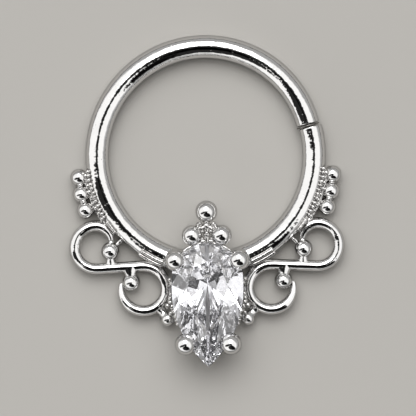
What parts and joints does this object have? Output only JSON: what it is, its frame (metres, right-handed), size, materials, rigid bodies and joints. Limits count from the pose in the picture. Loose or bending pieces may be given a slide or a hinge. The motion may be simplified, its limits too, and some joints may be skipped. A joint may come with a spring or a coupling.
{
  "type": "septum ring",
  "caption": "Bendable wire hoop with one seam, a claw-set pear cut stone, S-scroll wings, beads and fine granules, for a septum piercing.",
  "frame": {"origin": "centre of the ring's box in plan, on the plane that the ring lies on", "axes": "+Z out of the stone's table, +Y from the stone's tip towards the hoop's top, +X towards the hoop's seam"},
  "size_m": [0.0142, 0.017, 0.0026],
  "materials": {
    "polished_steel": "mirror polished steel",
    "clear_stone": "clear cut cubic zirconia"
  },
  "bodies": {
    "root": {"ring_frame": "polished_steel", "pear_stone": "clear_stone"}
  },
  "joints": []
}
